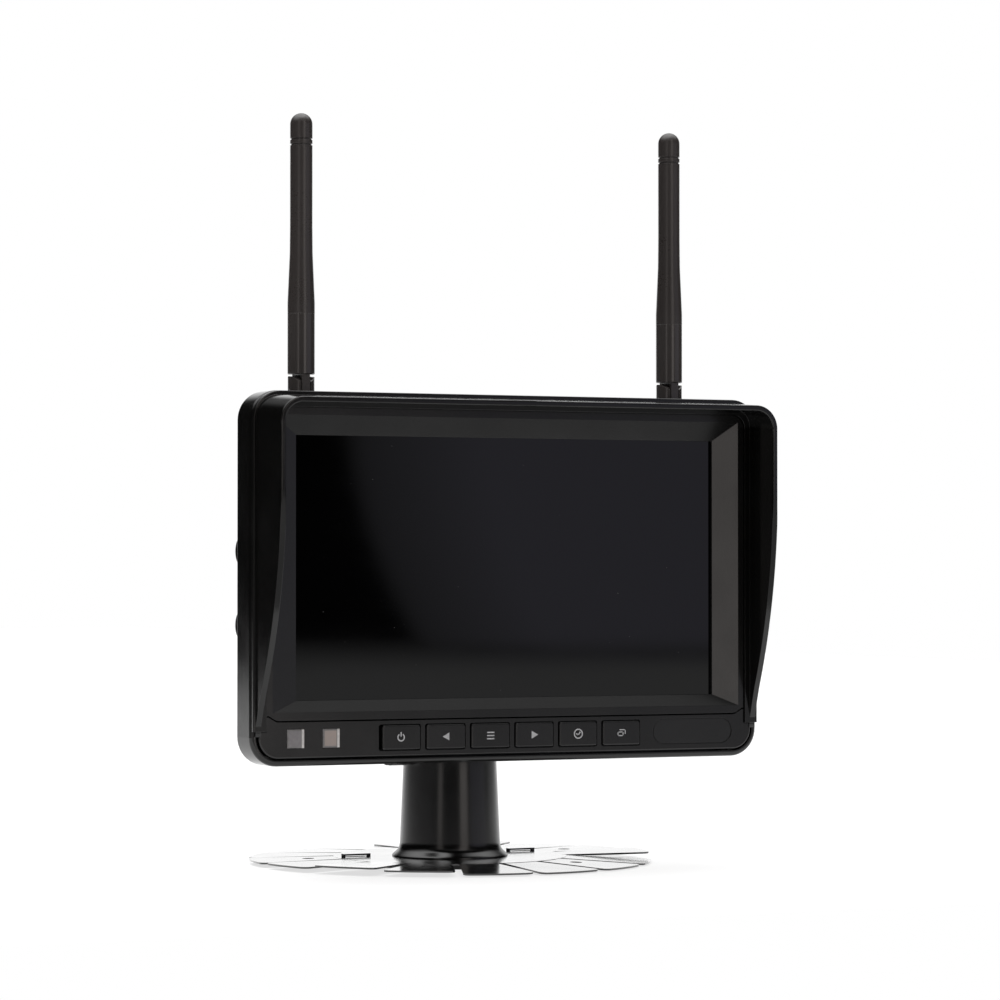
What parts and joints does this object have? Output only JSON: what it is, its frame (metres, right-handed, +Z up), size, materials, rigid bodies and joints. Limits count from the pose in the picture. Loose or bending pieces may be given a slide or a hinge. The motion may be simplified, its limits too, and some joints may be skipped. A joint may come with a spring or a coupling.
{
  "type": "rear-view monitor",
  "caption": "Wireless 7-inch rear-view monitor with sun hood, sprung keys, folding antennas, side bracket threads and a tilting stand on a bendable finger plate.",
  "frame": {"origin": "on the ground, at the centre of the round finger plate, under the axis of the post", "axes": "+Z up, the screen faces -Y, +X to the viewer's right when looking at the screen"},
  "size_m": [0.1882, 0.1388, 0.2525],
  "materials": {
    "case_plastic": "fine spark-eroded texture",
    "face_plastic": "fine matte texture",
    "hood_plastic": "satin moulded",
    "key_plastic": "satin moulded, printed symbols",
    "gloss_black": "smooth",
    "stand_plastic": "satin moulded",
    "antenna_rubber": "dull smooth",
    "antenna_plastic": "semi-gloss",
    "screen_glass": "anti-glare hard coat",
    "clear_window": "clear moulded",
    "lcd_module": "dark panel when off",
    "circuit_board": "solder mask",
    "tin_plate": "tinned",
    "speaker_cone": "paper cone and pressed basket",
    "switch_plastic": "moulded",
    "brass_parts": "machined",
    "black_steel": "black oxide",
    "bright_steel": "zinc plated",
    "plate_paint": "black anodised sheet",
    "foam_pad": "closed-cell foam tape"
  },
  "bodies": {
    "stand": {"base_plate": "plate_paint", "adhesive_pad": "foam_pad", "post": "stand_plastic", "foot_screws": "black_steel"},
    "head": {"swivel_head": "stand_plastic", "swivel_washer": "bright_steel", "swivel_screw": "bright_steel", "tilt_bolt": "bright_steel"},
    "knob": {"tilt_knob": "stand_plastic", "knob_collar": "stand_plastic", "knob_insert": "brass_parts"},
    "bracket": {"slide_bracket": "stand_plastic"},
    "monitor": {"rear_shell": "case_plastic", "screen_bezel": "face_plastic", "control_panel": "face_plastic", "badge_plate": "gloss_black", "ir_window": "clear_window", "light_window": "clear_window", "key_switches": "switch_plastic", "key_board": "circuit_board", "ir_receiver": "gloss_black", "light_sensor": "clear_window", "lcd_glass": "screen_glass", "lcd_panel": "lcd_module", "main_board": "circuit_board", "radio_module": "tin_plate", "speaker": "speaker_cone", "power_socket": "gloss_black", "power_pin": "brass_parts", "case_screws": "black_steel", "board_screws": "black_steel", "side_inserts": "brass_parts", "antenna_socket_left": "antenna_plastic", "antenna_socket_right": "antenna_plastic"},
    "hood": {"sun_hood": "hood_plastic"},
    "key_power": {"key_power": "key_plastic", "plunger_power": "switch_plastic"},
    "key_left": {"key_left": "key_plastic", "plunger_left": "switch_plastic"},
    "key_menu": {"key_menu": "key_plastic", "plunger_menu": "switch_plastic"},
    "key_right": {"key_right": "key_plastic", "plunger_right": "switch_plastic"},
    "key_ok": {"key_ok": "key_plastic", "plunger_ok": "switch_plastic"},
    "key_channel": {"key_channel": "key_plastic", "plunger_channel": "switch_plastic"},
    "fork_left": {"antenna_fork_left": "antenna_plastic", "antenna_pin_left": "bright_steel"},
    "whip_left": {"antenna_elbow_left": "antenna_plastic", "antenna_whip_left": "antenna_rubber", "antenna_element_left": "brass_parts"},
    "fork_right": {"antenna_fork_right": "antenna_plastic", "antenna_pin_right": "bright_steel"},
    "whip_right": {"antenna_elbow_right": "antenna_plastic", "antenna_whip_right": "antenna_rubber", "antenna_element_right": "brass_parts"}
  },
  "joints": [
    {"name": "stand_pan", "type": "hinge", "parent": "stand", "child": "head", "pos_m": [0, 0, 0.036], "axis": [0, 0, 1], "continuous": true},
    {"name": "knob_turn", "type": "hinge", "parent": "head", "child": "knob", "pos_m": [-0.0206, 0, 0.0441], "axis": [-1, 0, 0], "range_deg": [0, 270]},
    {"name": "monitor_tilt", "type": "hinge", "parent": "head", "child": "bracket", "pos_m": [0, 0, 0.0441], "axis": [1, 0, 0], "range_deg": [-35, 20]},
    {"name": "monitor_lift", "type": "slide", "parent": "bracket", "child": "monitor", "axis": [0, 0, 1], "range_m": [0, 0.04]},
    {"name": "hood_pull", "type": "slide", "parent": "monitor", "child": "hood", "axis": [0, -1, 0], "range_m": [0, 0.025]},
    {"name": "press_power", "type": "slide", "parent": "monitor", "child": "key_power", "axis": [0, 1, 0], "range_m": [0, 0.0006], "stiffness_N_per_m": 1000, "springref_m": -0.0006},
    {"name": "press_left", "type": "slide", "parent": "monitor", "child": "key_left", "axis": [0, 1, 0], "range_m": [0, 0.0006], "stiffness_N_per_m": 1000, "springref_m": -0.0006},
    {"name": "press_menu", "type": "slide", "parent": "monitor", "child": "key_menu", "axis": [0, 1, 0], "range_m": [0, 0.0006], "stiffness_N_per_m": 1000, "springref_m": -0.0006},
    {"name": "press_right", "type": "slide", "parent": "monitor", "child": "key_right", "axis": [0, 1, 0], "range_m": [0, 0.0006], "stiffness_N_per_m": 1000, "springref_m": -0.0006},
    {"name": "press_ok", "type": "slide", "parent": "monitor", "child": "key_ok", "axis": [0, 1, 0], "range_m": [0, 0.0006], "stiffness_N_per_m": 1000, "springref_m": -0.0006},
    {"name": "press_channel", "type": "slide", "parent": "monitor", "child": "key_channel", "axis": [0, 1, 0], "range_m": [0, 0.0006], "stiffness_N_per_m": 1000, "springref_m": -0.0006},
    {"name": "antenna_swivel_left", "type": "hinge", "parent": "monitor", "child": "fork_left", "pos_m": [-0.0692, -0.0314, 0.1538], "axis": [0, 0, 1], "range_deg": [-90, 90]},
    {"name": "antenna_fold_left", "type": "hinge", "parent": "fork_left", "child": "whip_left", "pos_m": [-0.0692, -0.0314, 0.1596], "axis": [-1, 0, 0], "range_deg": [0, 90]},
    {"name": "antenna_swivel_right", "type": "hinge", "parent": "monitor", "child": "fork_right", "pos_m": [0.0692, -0.0314, 0.1538], "axis": [0, 0, 1], "range_deg": [-90, 90]},
    {"name": "antenna_fold_right", "type": "hinge", "parent": "fork_right", "child": "whip_right", "pos_m": [0.0692, -0.0314, 0.1596], "axis": [-1, 0, 0], "range_deg": [0, 90]}
  ]
}
